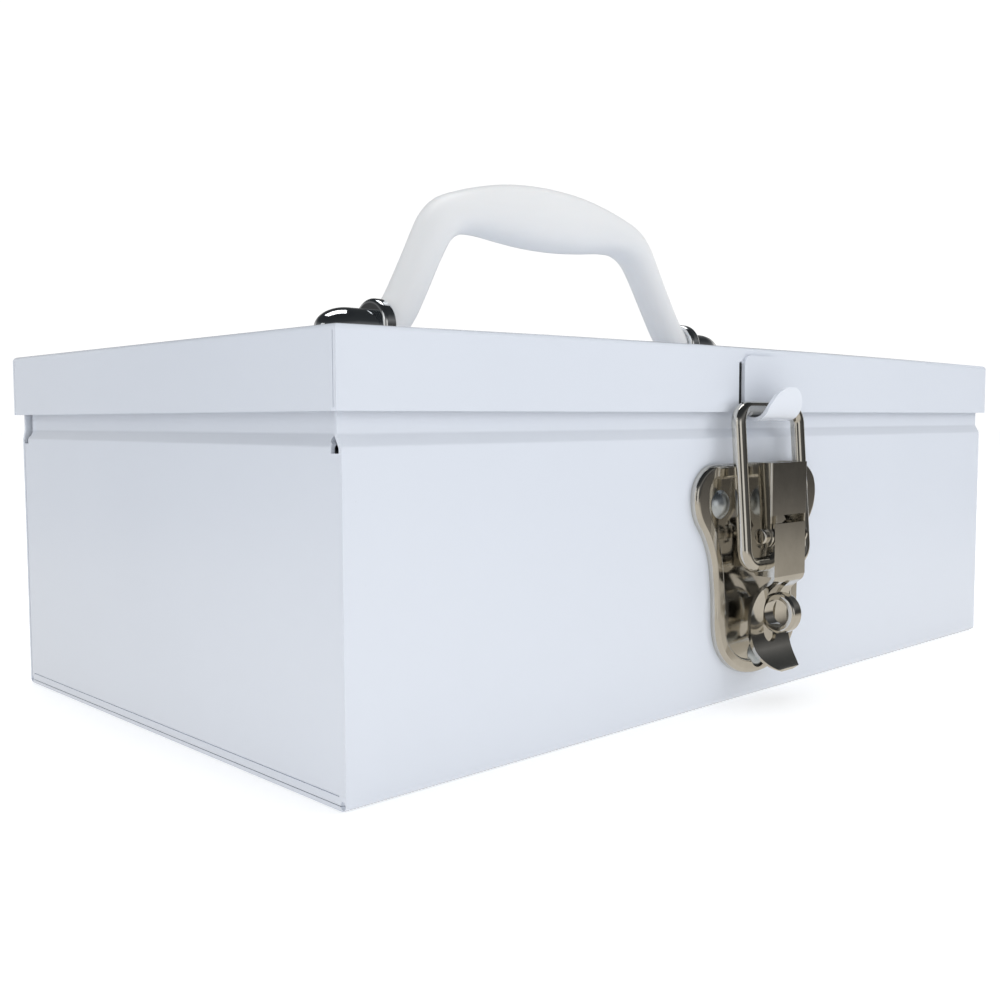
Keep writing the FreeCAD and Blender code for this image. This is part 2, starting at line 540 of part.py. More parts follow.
for sx in (-1, 1):
    for x in BR:
        brs.append(fuse([cyl_z(1.5, H_BOX - 1.4, 108.4, HCX + sx * x, 0), cyl_z(2.9, 102.8, H_BOX - T + 0.02, HCX + sx * x, 0)]))
save("bracket_rivets", *brs)

# ---------------------------------------------------------------------------
# lid hinges
# ---------------------------------------------------------------------------
kn = HG_LEN / 3
for s, side in ((-1, "left"), (1, "right")):
    xc = s * HG_X
    xs = [xc - HG_LEN / 2, xc - HG_LEN / 2 + kn, xc + HG_LEN / 2 - kn, xc + HG_LEN / 2]
    leaf = box(xs[0], xs[3], hy + 0.02, hy + 1.0, 62.0, 77.5)
    kb = []
    for xa, xb in ((xs[0], xs[1] - 0.2), (xs[2] + 0.2, xs[3])):
        kb.append(cyl_x(HG_R, xa, xb, HG_Y, HG_Z))
        kb.append(prism_x([(hy + 0.02, 77.4), (hy + 1.0, 77.4), (HG_Y - 1.3, HG_Z - 2.2), (HG_Y - 0.4, HG_Z - 1.6), (HG_Y - HG_R + 0.1, HG_Z - 0.3), (HG_Y - HG_R + 0.0, HG_Z - 1.2)], xa, xb))
    body_leaf = fuse([leaf] + kb).cut(cyl_x(HG_PIN + 0.02, xc - 40, xc + 40, HG_Y, HG_Z))
    lid_leaf = fuse([box(xs[0], xs[3], ly + 0.02, ly + 1.0, HG_Z + 3.6, 103.2),
                     cyl_x(HG_R, xs[1] + 0.2, xs[2] - 0.2, HG_Y, HG_Z),
                     prism_x([(ly + 0.02, HG_Z + 3.7), (ly + 1.0, HG_Z + 3.7), (HG_Y + 0.2, HG_Z + 1.9), (HG_Y - 1.6, HG_Z + 1.2)], xs[1] + 0.2, xs[2] - 0.2)])
    lid_leaf = lid_leaf.cut(cyl_x(HG_PIN + RUN, xc - 40, xc + 40, HG_Y, HG_Z))
    for dx in (-14.0, 14.0):
        body_leaf = body_leaf.cut(cyl_y(1.62, hy - 2, hy + 4, xc + dx, HRZ_BODY))
        lid_leaf = lid_leaf.cut(cyl_y(1.62, ly - 2, ly + 4, xc + dx, HRZ_LID))
    save("hinge_body_leaf_" + side, body_leaf)
    save("hinge_lid_leaf_" + side, lid_leaf)
pins = []
for s in (-1, 1):
    xc = s * HG_X
    pins.append(cyl_x(HG_PIN, xc - HG_LEN / 2 - 0.3, xc + HG_LEN / 2 + 0.3, HG_Y, HG_Z))
save("hinge_pins", *pins)


def hinge_rivet(x, y_out, t_out, y_in, z):
    cap = Part.makeSphere(4.0, V(x, y_out + t_out + 1.2 - 4.0, z)).common(box(x - 5, x + 5, y_out + t_out + 0.02, y_out + t_out + 3, z - 5, z + 5))
    return fuse([cap, cyl_y(1.6, y_in - 0.7, y_out + t_out + 0.3, x, z), cyl_y(2.6, y_in - 0.8, y_in - 0.02, x, z)])


save("hinge_body_rivets", *[hinge_rivet(x, hy, 1.0, hy - T, HRZ_BODY) for x in HR])
save("hinge_lid_rivets", *[hinge_rivet(x, ly, 1.0, ly - T, HRZ_LID) for x in HR])

# ---------------------------------------------------------------------------
# tray arms, studs, lift links
# ---------------------------------------------------------------------------
a0 = math.radians(A0)
U = (-math.cos(a0), math.sin(a0))


def arm(p, length, x, extra=None):
    """Flat link from the case pivot p to p + length*U, rounded ends."""
    q = (p[0] + length * U[0], p[1] + length * U[1])
    nrm = (-U[1], U[0])
    h = ARM_W / 2
    pts = [(p[0] + nrm[0] * h, p[1] + nrm[1] * h), (q[0] + nrm[0] * h, q[1] + nrm[1] * h),
           (q[0] - nrm[0] * h, q[1] - nrm[1] * h), (p[0] - nrm[0] * h, p[1] - nrm[1] * h)]
    s = fuse([prism_x(pts, x, x + ARM_T), cyl_x(h, x, x + ARM_T, *p), cyl_x(h, x, x + ARM_T, *q)])
    for c_ in [p, q] + ([extra] if extra else []):
        s = s.cut(cyl_x(STUD_R + 0.06, x - 1, x + ARM_T + 1, *c_))
    return s, q


up_studs, lo_studs, case_u, case_l = [], [], [], []
inner_u = ex - JOG - T        # inner face of the end panel above the joggle
inner_l = ex - T              # below it
A_PT = (PU[1][0] + LINK_R * U[0], PU[1][1] + LINK_R * U[1])
B_PT = (HG_Y + LINK_R * U[0], HG_Z + LINK_R * U[1])
for k, nm in ((0, "front"), (1, "rear")):
    s, q = arm(PU[k], RU, XA, A_PT if k else None)
    save("upper_%s_arm_right" % nm, s)
    save("upper_%s_arm_left" % nm, mirror_x(s))
    st = fuse([cyl_x(STUD_R, TRAY_X - TRAY_T - 0.8, XA + ARM_T, *q), cyl_x(3.2, TRAY_X - TRAY_T - 0.8, TRAY_X - TRAY_T - 0.02, *q)])
    up_studs += [st, mirror_x(st)]
    cs = cyl_x(STUD_R, XA, inner_u - 0.01, *PU[k])      # welded to the inside of the end panel
    case_u += [cs, mirror_x(cs)]
    s, q = arm(PL[k], RL, XB)
    save("lower_%s_arm_right" % nm, s)
    save("lower_%s_arm_left" % nm, mirror_x(s))
    st = fuse([cyl_x(STUD_R, TRAY_X - TRAY_T - 0.8, XB + ARM_T, *q), cyl_x(3.2, TRAY_X - TRAY_T - 0.8, TRAY_X - TRAY_T - 0.02, *q)])
    lo_studs += [st, mirror_x(st)]
    cl = cyl_x(STUD_R, XB, inner_l - 0.01, *PL[k])      # welded to the inside of the end panel
    case_l += [cl, mirror_x(cl)]
save("upper_tray_studs", *up_studs)
save("lower_tray_studs", *lo_studs)
save("case_studs_upper", *case_u)
save("case_studs_lower", *case_l)

# lift links between the lid and the rear upper arms: the two pivots are the
# same distance and direction from the lid hinge and from the arm pivot, so the
# arms turn exactly with the lid
hw = 3.4
dl = (A_PT[0] - B_PT[0], A_PT[1] - B_PT[1])
ml = math.hypot(*dl)
nl = (-dl[1] / ml * hw, dl[0] / ml * hw)
lk = fuse([prism_x([(A_PT[0] + nl[0], A_PT[1] + nl[1]), (B_PT[0] + nl[0], B_PT[1] + nl[1]), (B_PT[0] - nl[0], B_PT[1] - nl[1]), (A_PT[0] - nl[0], A_PT[1] - nl[1])], XK, XK + ARM_T),
           cyl_x(hw, XK, XK + ARM_T, *A_PT), cyl_x(hw, XK, XK + ARM_T, *B_PT)])
for c_ in (A_PT, B_PT):
    lk = lk.cut(cyl_x(STUD_R + 0.01, XK - 1, XK + ARM_T + 1, *c_))
save("lift_link_right", lk)
save("lift_link_left", mirror_x(lk))
lps = []
for c_ in (A_PT, B_PT):
    p_ = cyl_x(STUD_R, XK, XA + ARM_T, *c_)
    lps += [p_, mirror_x(p_)]
save("lift_link_pins", *lps)

# curved tab under the lid that carries the upper end of the link
R0, R1 = 16.3, 23.2
ring = cyl_x(R1, XA, XA + ARM_T, HG_Y, HG_Z).cut(cyl_x(R0, XA - 1, XA + ARM_T + 1, HG_Y, HG_Z))

def rel(r, deg):
    return (HG_Y - r * math.cos(math.radians(deg)), HG_Z + r * math.sin(math.radians(deg)))


zin = H_BOX - T - 0.05
keep = prism_x([(HG_Y, HG_Z), rel(30, A0), rel(34, 15), rel(40, 45), rel(40, 62)], XA, XA + ARM_T)
tabs = ring.common(keep).fuse(cyl_x((R1 - R0) / 2, XA, XA + ARM_T, *B_PT))
tabs = tabs.common(box(XA - 1, XA + 3, 0, 83.3, 60, zin))
foot = box(XA - 9, XA + ARM_T, 68.0, 82.5, zin - 1.2, zin)
tabs = fuse([tabs, foot])
tabs = tabs.cut(cyl_x(STUD_R + 0.06, XA - 1, XA + ARM_T + 1, *B_PT))
save("lift_tab_right", tabs)
save("lift_tab_left", mirror_x(tabs))

# ---------------------------------------------------------------------------
# trays: open pans with folded rims and loose-fitting dividers
# ---------------------------------------------------------------------------


def tray(ys, zs, pivots_q):
    o = box(-TRAY_X, TRAY_X, ys[0], ys[1], zs[0], zs[1])
    o = fillet(o, 2.5, lambda e: e.BoundBox.ZLength > 10)
    o = fillet(o, 1.5, lambda e: e.BoundBox.ZMax < zs[0] + 0.01)
    i = box(-TRAY_X + TRAY_T, TRAY_X - TRAY_T, ys[0] + TRAY_T, ys[1] - TRAY_T, zs[0] + TRAY_T, zs[1] + 5)
    i = fillet(i, 1.5, lambda e: e.BoundBox.ZLength > 10)
    s = o.cut(i)
    for q in pivots_q:
        s = s.cut(cyl_x(STUD_R + 0.02, -200, 200, *q))
    return s


qu = [(p[0] + RU * U[0], p[1] + RU * U[1]) for p in PU]
ql = [(p[0] + RL * U[0], p[1] + RL * U[1]) for p in PL]
save("upper_tray_pan", tray(UT_Y, UT_Z, qu))
save("lower_tray_pan", tray(LT_Y, LT_Z, ql))


def divider_y(x, ys, zs):
    return box(x - 0.6, x + 0.6, ys[0] + TRAY_T + 0.1, ys[1] - TRAY_T - 0.1, zs[0] + TRAY_T + 0.02, zs[1] - 2.0)


def divider_x(xa, xb, y, zs):
    return box(xa, xb, y - 0.6, y + 0.6, zs[0] + TRAY_T + 0.02, zs[1] - 2.0)


save("upper_divider_left", divider_y(-50.0, UT_Y, UT_Z))
save("upper_divider_right", divider_y(50.0, UT_Y, UT_Z))
save("upper_divider_long", divider_x(-49.3, 49.3, -19.0, UT_Z))
save("lower_divider_cross", divider_y(0.0, LT_Y, LT_Z))
save("lower_divider_long", divider_x(0.7, TRAY_X - TRAY_T - 1.0, -14.0, LT_Z))
print("nodes", count)
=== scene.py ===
import json
import math
import bpy
import bmesh
from mathutils import Vector, Matrix


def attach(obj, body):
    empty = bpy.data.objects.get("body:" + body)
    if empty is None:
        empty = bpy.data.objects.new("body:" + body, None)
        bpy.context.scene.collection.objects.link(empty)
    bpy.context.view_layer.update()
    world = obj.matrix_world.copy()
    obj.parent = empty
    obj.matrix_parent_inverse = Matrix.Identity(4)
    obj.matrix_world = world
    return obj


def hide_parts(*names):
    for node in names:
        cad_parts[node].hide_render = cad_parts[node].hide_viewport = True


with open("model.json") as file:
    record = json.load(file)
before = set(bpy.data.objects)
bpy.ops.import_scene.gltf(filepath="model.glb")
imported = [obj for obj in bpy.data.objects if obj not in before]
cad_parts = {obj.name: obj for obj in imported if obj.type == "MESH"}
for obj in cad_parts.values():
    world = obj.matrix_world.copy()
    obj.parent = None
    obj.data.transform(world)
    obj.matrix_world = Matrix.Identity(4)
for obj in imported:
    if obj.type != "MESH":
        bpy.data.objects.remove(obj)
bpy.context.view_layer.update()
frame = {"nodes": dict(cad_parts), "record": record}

MM = 0.001
nodes = frame["nodes"]
scene = bpy.context.scene

# ---------------------------------------------------------------------------
# camera: low three-quarter view of the front and the left end
# ---------------------------------------------------------------------------
CAM_AZ, CAM_EL, CAM_ROLL = math.radians(43.484), math.radians(-4.150), math.radians(-0.204)
CAM_POS = Vector((-0.2933, -0.2826, 0.0843))
d = Vector((math.sin(CAM_AZ) * math.cos(CAM_EL), math.cos(CAM_AZ) * math.cos(CAM_EL), math.sin(CAM_EL)))
r = d.cross(Vector((0, 0, 1))).normalized()
u = r.cross(d)
cr, sr = math.cos(CAM_ROLL), math.sin(CAM_ROLL)
r2 = r * cr + u * sr
u2 = -r * sr + u * cr
cam_data = bpy.data.cameras.new("camera")
cam_data.sensor_width = 36.0
cam_data.lens = 40.986
cam_data.shift_x = 0.0003
cam_data.shift_y = 0.0020
cam_data.clip_start = 0.01
cam_data.clip_end = 50
cam = bpy.data.objects.new("camera", cam_data)
cam.matrix_world = Matrix((
    (r2.x, u2.x, -d.x, CAM_POS.x),
    (r2.y, u2.y, -d.y, CAM_POS.y),
    (r2.z, u2.z, -d.z, CAM_POS.z),
    (0, 0, 0, 1)))
scene.collection.objects.link(cam)
scene.camera = cam


# ---------------------------------------------------------------------------
# material helpers
# ---------------------------------------------------------------------------
class Mat:
    """A small helper that builds one node material."""

    def __init__(self, name):
        self.m = bpy.data.materials.new(name)
        self.m.use_nodes = True
        self.t = self.m.node_tree
        self.t.nodes.clear()
        self.out = self.n("ShaderNodeOutputMaterial")
        self.b = self.n("ShaderNodeBsdfPrincipled")
        self.link(self.b.outputs[0], self.out.inputs["Surface"])
        self.co = self.n("ShaderNodeTexCoord").outputs["Object"]

    def n(self, kind, **kw):
        x = self.t.nodes.new(kind)
        for k, v in kw.items():
            setattr(x, k, v)
        return x

    def link(self, a, b):
        self.t.links.new(a, b)

    def set(self, **kw):
        names = {"base": "Base Color", "rough": "Roughness", "metal": "Metallic", "ior": "IOR",
                 "coat": "Coat Weight", "coat_rough": "Coat Roughness", "spec": "Specular IOR Level",
                 "sss": "Subsurface Weight", "aniso": "Anisotropic"}
        for k, v in kw.items():
            s = self.b.inputs[names[k]]
            s.default_value = (*v, 1.0) if k == "base" else v

    def noise(self, scale, detail=3.0, rough=0.5, stretch=None, dist=0.0):
        x = self.n("ShaderNodeTexNoise")
        x.inputs["Scale"].default_value = scale
        x.inputs["Detail"].default_value = detail
        x.inputs["Roughness"].default_value = rough
        x.inputs["Distortion"].default_value = dist
        if stretch:
            mp = self.n("ShaderNodeMapping")
            mp.inputs["Scale"].default_value = stretch
            self.link(self.co, mp.inputs["Vector"])
            self.link(mp.outputs[0], x.inputs["Vector"])
        else:
            self.link(self.co, x.inputs["Vector"])
        return x.outputs["Fac"]

    def voronoi(self, scale, feature="F1"):
        x = self.n("ShaderNodeTexVoronoi", feature=feature)
        x.inputs["Scale"].default_value = scale
        self.link(self.co, x.inputs["Vector"])
        return x.outputs["Distance"]

    def ramp(self, fac, stops):
        x = self.n("ShaderNodeValToRGB")
        e = x.color_ramp.elements
        while len(e) < len(stops):
            e.new(0.5)
        for k, (p, c) in enumerate(stops):
            e[k].position = p
            e[k].color = (*c, 1.0) if isinstance(c, tuple) else (c, c, c, 1.0)
        self.link(fac, x.inputs["Fac"])
        return x.outputs["Color"]

    def map(self, fac, a, b, lo=0.0, hi=1.0):
        x = self.n("ShaderNodeMapRange")
        x.inputs["From Min"].default_value = lo
        x.inputs["From Max"].default_value = hi
        x.inputs["To Min"].default_value = a
        x.inputs["To Max"].default_value = b
        self.link(fac, x.inputs["Value"])
        return x.outputs["Result"]

    def mix(self, fac, a, b, kind="MIX"):
        x = self.n("ShaderNodeMix", data_type="RGBA", blend_type=kind)
        if isinstance(fac, float):
            x.inputs["Factor"].default_value = fac
        else:
            self.link(fac, x.inputs["Factor"])
        for s, v in (("A", a), ("B", b)):
            sock = x.inputs[6 if s == "A" else 7]
            if isinstance(v, tuple):
                sock.default_value = (*v, 1.0)
            else:
                self.link(v, sock)
        return x.outputs[2]

    def bump(self, height, strength, dist, normal=None):
        x = self.n("ShaderNodeBump")
        x.inputs["Strength"].default_value = strength
        x.inputs["Distance"].default_value = dist
        self.link(height, x.inputs["Height"])
        if normal:
            self.link(normal, x.inputs["Normal"])
        return x.outputs["Normal"]

    def normal(self, nrm):
        self.link(nrm, self.b.inputs["Normal"])

    def to(self, sock, name):
        self.link(sock, self.b.inputs[name])


def enamel(name, base, shade):
    """Baked gloss enamel: even colour with a faint mottle, a few tiny specks, orange peel."""
    m = Mat(name)
    m.set(rough=0.16, spec=0.5, coat=0.35, coat_rough=0.06)
    mott = m.ramp(m.noise(9.0, 2.0), [(0.35, base), (0.68, shade)])
    speck = m.ramp(m.voronoi(420.0), [(0.0, 1.0), (0.045, 0.0)])
    gate = m.ramp(m.noise(130.0, 1.0), [(0.60, 0.0), (0.64, 1.0)])
    both = m.mix(1.0, speck, gate, "MULTIPLY")
    m.to(m.mix(both, mott, tuple(c * 0.62 for c in shade)), "Base Color")
    m.to(m.map(m.noise(160.0, 2.0), 0.13, 0.21), "Roughness")
    b1 = m.bump(m.noise(520.0, 2.0, 0.6), 0.10, 0.00006)
    m.normal(m.bump(m.noise(38.0, 1.0), 0.12, 0.00035, b1))
    return m.m


def plated(name, base, dark, rough, scratch=0.12, pit=0.0):
    """Bright plating: fine handling scratches, cloudy patches in the gloss, tiny pits."""
    m = Mat(name)
    m.set(metal=1.0, rough=rough)
    cloud = m.noise(70.0, 4.0, 0.6)
    m.to(m.ramp(cloud, [(0.30, dark), (0.62, base)]), "Base Color")
    sc = m.noise(900.0, 2.0, 0.6, stretch=(1.0, 1.0, 0.06), dist=0.6)
    m.to(m.map(m.noise(240.0, 5.0, 0.65), rough * 0.6, rough * 2.0), "Roughness")
    nrm = m.bump(sc, scratch, 0.00002)
    if pit:
        nrm = m.bump(m.ramp(m.voronoi(900.0), [(0.0, 0.0), (0.12, 1.0)]), pit, 0.00003, nrm)
    m.normal(nrm)
    return m.m


def zinc(name):
    m = Mat(name)
    m.set(metal=1.0, rough=0.28)
    m.to(m.ramp(m.noise(260.0, 3.0), [(0.35, (0.50, 0.56, 0.62)), (0.65, (0.72, 0.77, 0.82))]), "Base Color")
    m.to(m.map(m.noise(500.0, 4.0), 0.2, 0.42), "Roughness")
    m.normal(m.bump(m.noise(900.0, 3.0), 0.15, 0.00003))
    return m.m


def strip_steel(name):
    m = Mat(name)
    m.set(metal=1.0, rough=0.32)
    m.to(m.ramp(m.noise(120.0, 4.0), [(0.3, (0.50, 0.51, 0.52)), (0.7, (0.66, 0.67, 0.68))]), "Base Color")
    m.to(m.map(m.noise(700.0, 3.0, stretch=(1.0, 0.08, 1.0)), 0.24, 0.44), "Roughness")
    m.normal(m.bump(m.noise(1200.0, 2.0, stretch=(1.0, 0.05, 1.0)), 0.2, 0.00003))
    return m.m


def moulded(name):
    """White satin moulded plastic: fine spark grain, slight translucency."""
    m = Mat(name)
    m.set(rough=0.38, spec=0.45, sss=0.06)
    m.b.inputs["Subsurface Radius"].default_value = (0.004, 0.003, 0.0025)
    m.b.inputs["Subsurface Scale"].default_value = 0.6
    m.to(m.ramp(m.noise(22.0, 2.0), [(0.3, (0.812, 0.820, 0.829)), (0.7, (0.846, 0.852, 0.859))]), "Base Color")
    m.to(m.map(m.noise(420.0, 3.0), 0.32, 0.46), "Roughness")
    m.normal(m.bump(m.noise(1500.0, 2.0), 0.10, 0.00003))
    return m.m


WHITE = enamel("white_enamel_gloss", (0.715, 0.752, 0.822), (0.700, 0.738, 0.808))
TRAY = enamel("tray_enamel_gloss", (0.72, 0.75, 0.80), (0.70, 0.73, 0.78))
NICKEL = plated("nickel_plate", (0.69, 0.668, 0.62), (0.59, 0.57, 0.525), 0.085, 0.14, 0.10)
CHROME = plated("chrome_plate", (0.80, 0.82, 0.84), (0.72, 0.75, 0.78), 0.04, 0.06)
ZINC = zinc("zinc_rivet_plate")
STEEL = strip_steel("strip_steel")
PLASTIC = moulded("white_moulded_plastic")

SLOTS = {"white_enamel": WHITE, "tray_enamel": TRAY, "nickel": NICKEL, "chrome": CHROME,
         "zinc_rivet": ZINC, "arm_steel": STEEL, "white_plastic": PLASTIC}
slot_of = {s["node"]: s["material_slot"] for s in frame["record"]["subparts"]}
for name, o in nodes.items():
    mat = SLOTS[slot_of[name]]
    if not o.material_slots:
        o.data.materials.append(mat)
    for s in o.material_slots:
        s.material = mat


def new_mesh(name, verts, faces, mat, body, replaces=(), smooth=True):
    me = bpy.data.meshes.new(name)
    me.from_pydata([Vector(v) for v in verts], [], faces)
    me.validate()
    me.materials.append(mat)
    if smooth:
        me.polygons.foreach_set("use_smooth", [True] * len(me.polygons))
    o = bpy.data.objects.new(name, me)
    scene.collection.objects.link(o)
    bm = bmesh.new()
    bm.from_mesh(me)
    bmesh.ops.recalc_face_normals(bm, faces=bm.faces)
    bm.to_mesh(me)
    bm.free()
    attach(o, body)
    if replaces:
        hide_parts(*replaces)
    return o


# ---------------------------------------------------------------------------
# handle: moulded grip, lofted round a bent centre line, with a dished face
# ---------------------------------------------------------------------------
HCX = -1.6
HP = Vector((HCX, 0, 113.1)) * MM
LEAN = math.radians(3.5)
ST = [(73.3, 113.1, 5.85, 5.85, 2.0, 0), (72.5, 113.35, 5.88, 5.87, 2.0, 0), (70.9, 114.1, 6.0, 5.95, 2.0, 0), (68.4, 117.0, 6.2, 6.05, 2.0, 0),
      (65.4, 121.0, 6.15, 6.05, 2.0, 0), (61.2, 128.0, 6.1, 6.1, 2.0, 0), (56.8, 135.6, 6.1, 6.2, 2.0, 0), (52.8, 142.4, 6.3, 6.4, 2.0, 0), (49.8, 146.6, 6.6, 6.7, 2.0, 0),
      (45.6, 150.0, 6.9, 7.0, 2.05, 0.0), (39.5, 152.2, 7.0, 7.4, 2.1, 0.05), (31.0, 153.5, 8.1, 7.9, 2.15, 0.15), (20.5, 154.1, 9.7, 8.4, 2.2, 0.3), (10.0, 154.25, 10.65, 8.7, 2.25, 0.42), (0.0, 154.3, 10.95, 8.8, 2.25, 0.45)]
full = ST + [(-s[0], *s[1:]) for s in reversed(ST[:-1])]


def catmull(pts, k):
    out = []
    n_ = len(pts)
    for i in range(n_ - 1):
        p0, p1, p2, p3 = pts[max(i - 1, 0)], pts[i], pts[i + 1], pts[min(i + 2, n_ - 1)]
        for j in range(k):
            t = j / k
            out.append(tuple(0.5 * (2 * b + (c - a) * t + (2 * a - 5 * b + 4 * c - e) * t * t + (-a + 3 * b - 3 * c + e) * t ** 3)
                             for a, b, c, e in zip(p0, p1, p2, p3)))
    out.append(pts[-1])
    return out


rings = catmull(full, 4)
K = 48
verts, faces = [], []
rot_lean = Matrix.Rotation(-LEAN, 3, "X")
NR = len(rings)
for i, (x, z, a, b_, e_, dish) in enumerate(rings):
    xa, za = rings[max(i - 1, 0)][:2]
    xb, zb = rings[min(i + 1, NR - 1)][:2]
    t = Vector((xb - xa, 0, zb - za)).normalized()
    if abs(x) > 73.2:
        t = Vector((-1, 0, 0))
    up = Vector((t.z, 0, -t.x))
    for k in range(K):
        q = 2 * math.pi * k / K
        c_, s_ = math.cos(q), math.sin(q)
        e2 = 2.0 / e_
        h = a * math.copysign(abs(c_) ** e2, c_)
        w = b_ * math.copysign(abs(s_) ** e2, s_)
        # shallow hollow in the upper part of both faces for the thumb and palm
        if dish > 0:
            f = math.exp(-((h / a - 0.42) / 0.30) ** 2)
            w -= math.copysign(1.6 * dish * f, w) * min(1.0, abs(w) / (0.5 * b_))
        p = Vector((x + HCX, 0, z)) + up * h + Vector((0, w, 0))
        p = (p * MM) - HP
        p = rot_lean @ p + HP
        verts.append(p)
for i in range(NR - 1):
    for k in range(K):
        a, b = i * K + k, i * K + (k + 1) % K
        faces.append((a, b, b + K, a + K))
faces.append(tuple(range(K)))
faces.append(tuple(reversed(range((NR - 1) * K, NR * K))))
grip = new_mesh("handle_grip_moulded", verts, faces, PLASTIC, "handle", ("handle_grip",))
bv = grip.modifiers.new("edge", "BEVEL")
bv.width = 0.0006
bv.segments = 3
bv.limit_method = "ANGLE"
bv.angle_limit = math.radians(60)

# ---------------------------------------------------------------------------
# painted shade: a dark sheet behind the lanced slit at the left of the lid tongue, standing in for the shadowed
# gap
# ---------------------------------------------------------------------------
SLIT_SHADE = Mat("slit_painted_shade")
SLIT_SHADE.set(metal=0.0, rough=0.8, spec=0.1)
# near-black colour here is painted shade for the gap seen through the slit
SLIT_SHADE.to(SLIT_SHADE.ramp(SLIT_SHADE.noise(300.0, 3.0), [(0.3, (0.018, 0.019, 0.022)), (0.7, (0.035, 0.036, 0.04))]), "Base Color")
bx, by, bz = (-11.6, -10.1), (-87.5, -87.42), (86.5, 100.5)
bvs = [Vector((x, y, z)) * MM for x in bx for y in by for z in bz]
bfs = [(0, 1, 3, 2), (4, 6, 7, 5), (0, 4, 5, 1), (2, 3, 7, 6), (0, 2, 6, 4), (1, 5, 7, 3)]
new_mesh("tongue_slit_painted_shade", bvs, bfs, SLIT_SHADE.m, "lid", smooth=False)

# ---------------------------------------------------------------------------
# small edge roundings on the sheet and plate work, kept as modifiers
# ---------------------------------------------------------------------------


def soften(name, width, segments=2, angle=40):
    o = nodes[name]
    b = o.modifiers.new("edge", "BEVEL")
    b.width = width
    b.segments = segments
    b.limit_method = "ANGLE"
    b.angle_limit = math.radians(angle)
    b.harden_normals = False
    b.use_clamp_overlap = True


soften("latch_lever", 0.00035)
soften("latch_housing", 0.0003)

# ---------------------------------------------------------------------------
# floor and backdrop, light
# ---------------------------------------------------------------------------
fm = Mat("floor_paper")
fm.set(rough=1.0, spec=0.0)
fm.b.inputs["Emission Color"].default_value = (1.0, 1.0, 1.0, 1.0)
fm.b.inputs["Emission Strength"].default_value = 0.33
fm.to(fm.ramp(fm.noise(3.0, 2.0), [(0.3, (0.93, 0.93, 0.93)), (0.7, (0.95, 0.95, 0.95))]), "Base Color")
bm = bmesh.new()
bmesh.ops.create_circle(bm, cap_ends=True, radius=9.0, segments=96)
me = bpy.data.meshes.new("floor")
bm.to_mesh(me)
bm.free()
me.materials.append(fm.m)
floor = bpy.data.objects.new("floor", me)
scene.collection.objects.link(floor)
floor.location = (0, 0, -0.0002)
floor.visible_glossy = False

world = bpy.data.worlds.new("studio")
scene.world = world
world.use_nodes = True
wt = world.node_tree
wt.nodes.clear()
wo = wt.nodes.new("ShaderNodeOutputWorld")
tc = wt.nodes.new("ShaderNodeTexCoord")
sep = wt.nodes.new("ShaderNodeSeparateXYZ")
wt.links.new(tc.outputs["Generated"], sep.inputs[0])
ramp = wt.nodes.new("ShaderNodeValToRGB")
mr = wt.nodes.new("ShaderNodeMapRange")
mr.inputs["From Min"].default_value = -1.0
mr.inputs["From Max"].default_value = 1.0
wt.links.new(sep.outputs["Z"], mr.inputs["Value"])
wt.links.new(mr.outputs[0], ramp.inputs[0])
el = ramp.color_ramp.elements
stops = [(0.0, (0.62, 0.59, 0.54)), (0.385, (0.66, 0.62, 0.55)), (0.437, (0.42, 0.39, 0.34)), (0.462, (0.13, 0.122, 0.112)), (0.478, (0.065, 0.062, 0.058)),
         (0.54, (0.05, 0.05, 0.05)), (0.66, (0.16, 0.16, 0.16)), (0.80, (0.035, 0.038, 0.04)), (1.0, (0.02, 0.022, 0.025))]
while len(el) < len(stops):
    el.new(0.5)
for k, (p, c) in enumerate(stops):
    el[k].position = p
    el[k].color = (*c, 1)
# upright bright panels round the room, seen in the plated parts
ang = wt.nodes.new("ShaderNodeMath")
ang.operation = "ARCTAN2"
wt.links.new(sep.outputs["Y"], ang.inputs[0])
wt.links.new(sep.outputs["X"], ang.inputs[1])
amr = wt.nodes.new("ShaderNodeMapRange")
amr.inputs["From Min"].default_value = -math.pi
amr.inputs["From Max"].default_value = math.pi
wt.links.new(ang.outputs[0], amr.inputs["Value"])
ar = wt.nodes.new("ShaderNodeValToRGB")
ae = ar.color_ramp.elements
astops = [(0.0, 0.75), (0.055, 0.75), (0.075, 0.0), (0.125, 0.0), (0.145, 0.8), (0.205, 0.9), (0.225, 0.05), (0.40, 0.0), (0.47, 0.0), (0.50, 0.85), (0.56, 0.85),
          (0.58, 0.0), (0.70, 0.0), (0.72, 0.5), (0.80, 0.5), (0.82, 0.0), (0.93, 0.0), (0.95, 0.75)]
while len(ae) < len(astops):
    ae.new(0.5)
for k, (p, v) in enumerate(astops):
    ae[k].position = p
    ae[k].color = (v, v, v, 1)
wt.links.new(amr.outputs[0], ar.inputs[0])
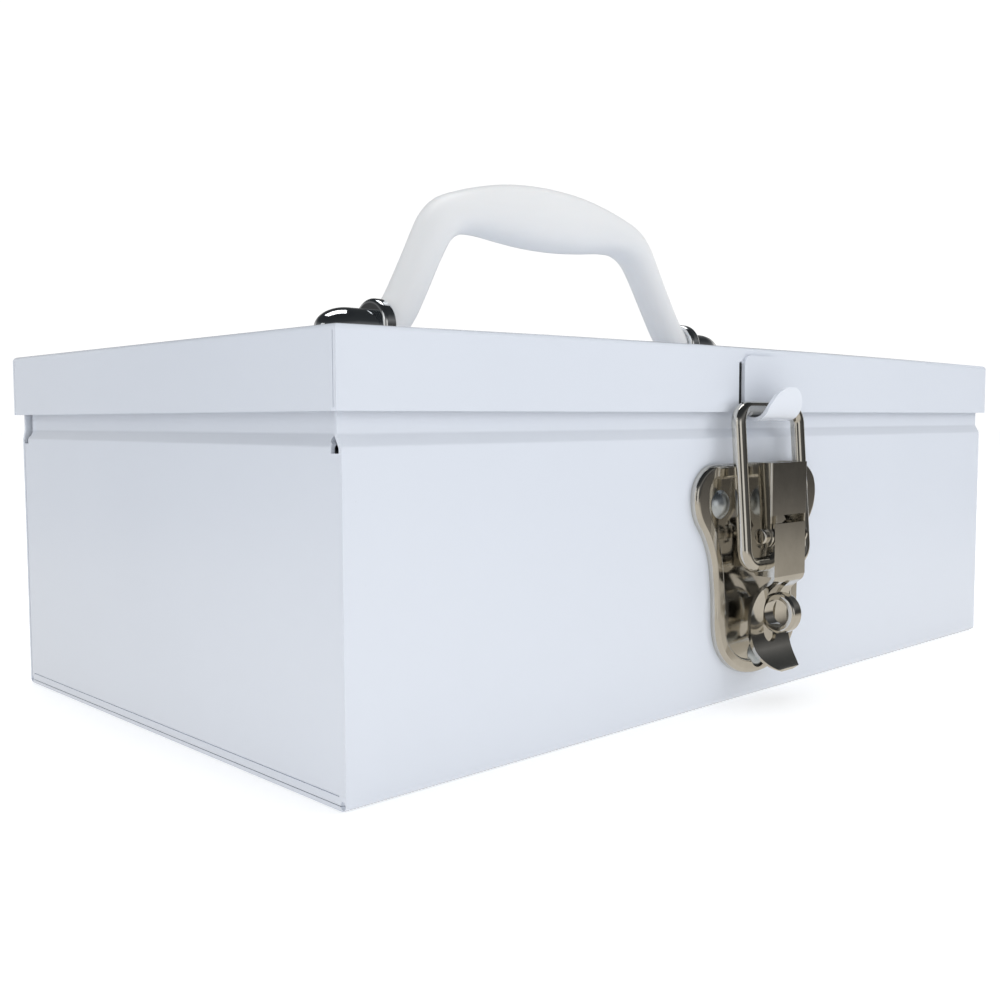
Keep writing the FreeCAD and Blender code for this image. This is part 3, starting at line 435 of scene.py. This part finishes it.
# the panels end a little above and below the horizon
band = wt.nodes.new("ShaderNodeValToRGB")
be = band.color_ramp.elements
bstops = [(0.40, 0.0), (0.44, 1.0), (0.62, 1.0), (0.72, 0.0)]
while len(be) < len(bstops):
    be.new(0.5)
for k, (p, v) in enumerate(bstops):
    be[k].position = p
    be[k].color = (v, v, v, 1)
wt.links.new(mr.outputs[0], band.inputs[0])
mul = wt.nodes.new("ShaderNodeMath")
mul.operation = "MULTIPLY"
wt.links.new(ar.outputs[0], mul.inputs[0])
wt.links.new(band.outputs[0], mul.inputs[1])
gm = wt.nodes.new("ShaderNodeMix")
gm.data_type = "RGBA"
wt.links.new(mul.outputs[0], gm.inputs["Factor"])
wt.links.new(ramp.outputs[0], gm.inputs[6])
gm.inputs[7].default_value = (0.92, 0.90, 0.86, 1)
bg_gloss = wt.nodes.new("ShaderNodeBackground")
wt.links.new(gm.outputs[2], bg_gloss.inputs[0])
bg_gloss.inputs[1].default_value = 1.0
bg_fill = wt.nodes.new("ShaderNodeBackground")
bg_fill.inputs[0].default_value = (0.97, 0.985, 1.0, 1)
bg_fill.inputs[1].default_value = 0.745
bg_cam = wt.nodes.new("ShaderNodeBackground")
bg_cam.inputs[0].default_value = (1, 1, 1, 1)
bg_cam.inputs[1].default_value = 1.05
lp = wt.nodes.new("ShaderNodeLightPath")
mx1 = wt.nodes.new("ShaderNodeMixShader")
mx2 = wt.nodes.new("ShaderNodeMixShader")
wt.links.new(lp.outputs["Is Glossy Ray"], mx1.inputs[0])
wt.links.new(bg_fill.outputs[0], mx1.inputs[1])
wt.links.new(bg_gloss.outputs[0], mx1.inputs[2])
wt.links.new(lp.outputs["Is Camera Ray"], mx2.inputs[0])
wt.links.new(mx1.outputs[0], mx2.inputs[1])
wt.links.new(bg_cam.outputs[0], mx2.inputs[2])
wt.links.new(mx2.outputs[0], wo.inputs["Surface"])


def area(name, loc, target, size, power, color=(1, 1, 1), size_y=None):
    ld = bpy.data.lights.new(name, "AREA")
    ld.shape = "RECTANGLE"
    ld.size = size
    ld.size_y = size_y or size
    ld.energy = power
    ld.color = color
    o = bpy.data.objects.new(name, ld)
    scene.collection.objects.link(o)
    o.location = loc
    o.rotation_mode = "QUATERNION"
    o.rotation_quaternion = (Vector(target) - Vector(loc)).to_track_quat("-Z", "Y")
    return o


fr = area("softbox_front_right", (0.8, -0.8, 0.56), (0.02, -0.05, 0.06), 0.7, 3.2, (1.0, 0.995, 0.985), 0.5)
fr.visible_glossy = False
area("softbox_left", (-1.6, -0.1, 0.8), (-0.1, 0, 0.06), 0.7, 0.7, (0.99, 1.0, 1.0), 0.5)
area("softbox_top", (0.1, 0.35, 1.7), (0, 0, 0.1), 1.1, 7.0, (1, 1, 1), 0.8)

try:
    scene.view_settings.view_transform = "Standard"
    scene.view_settings.look = "None"
except Exception:
    pass
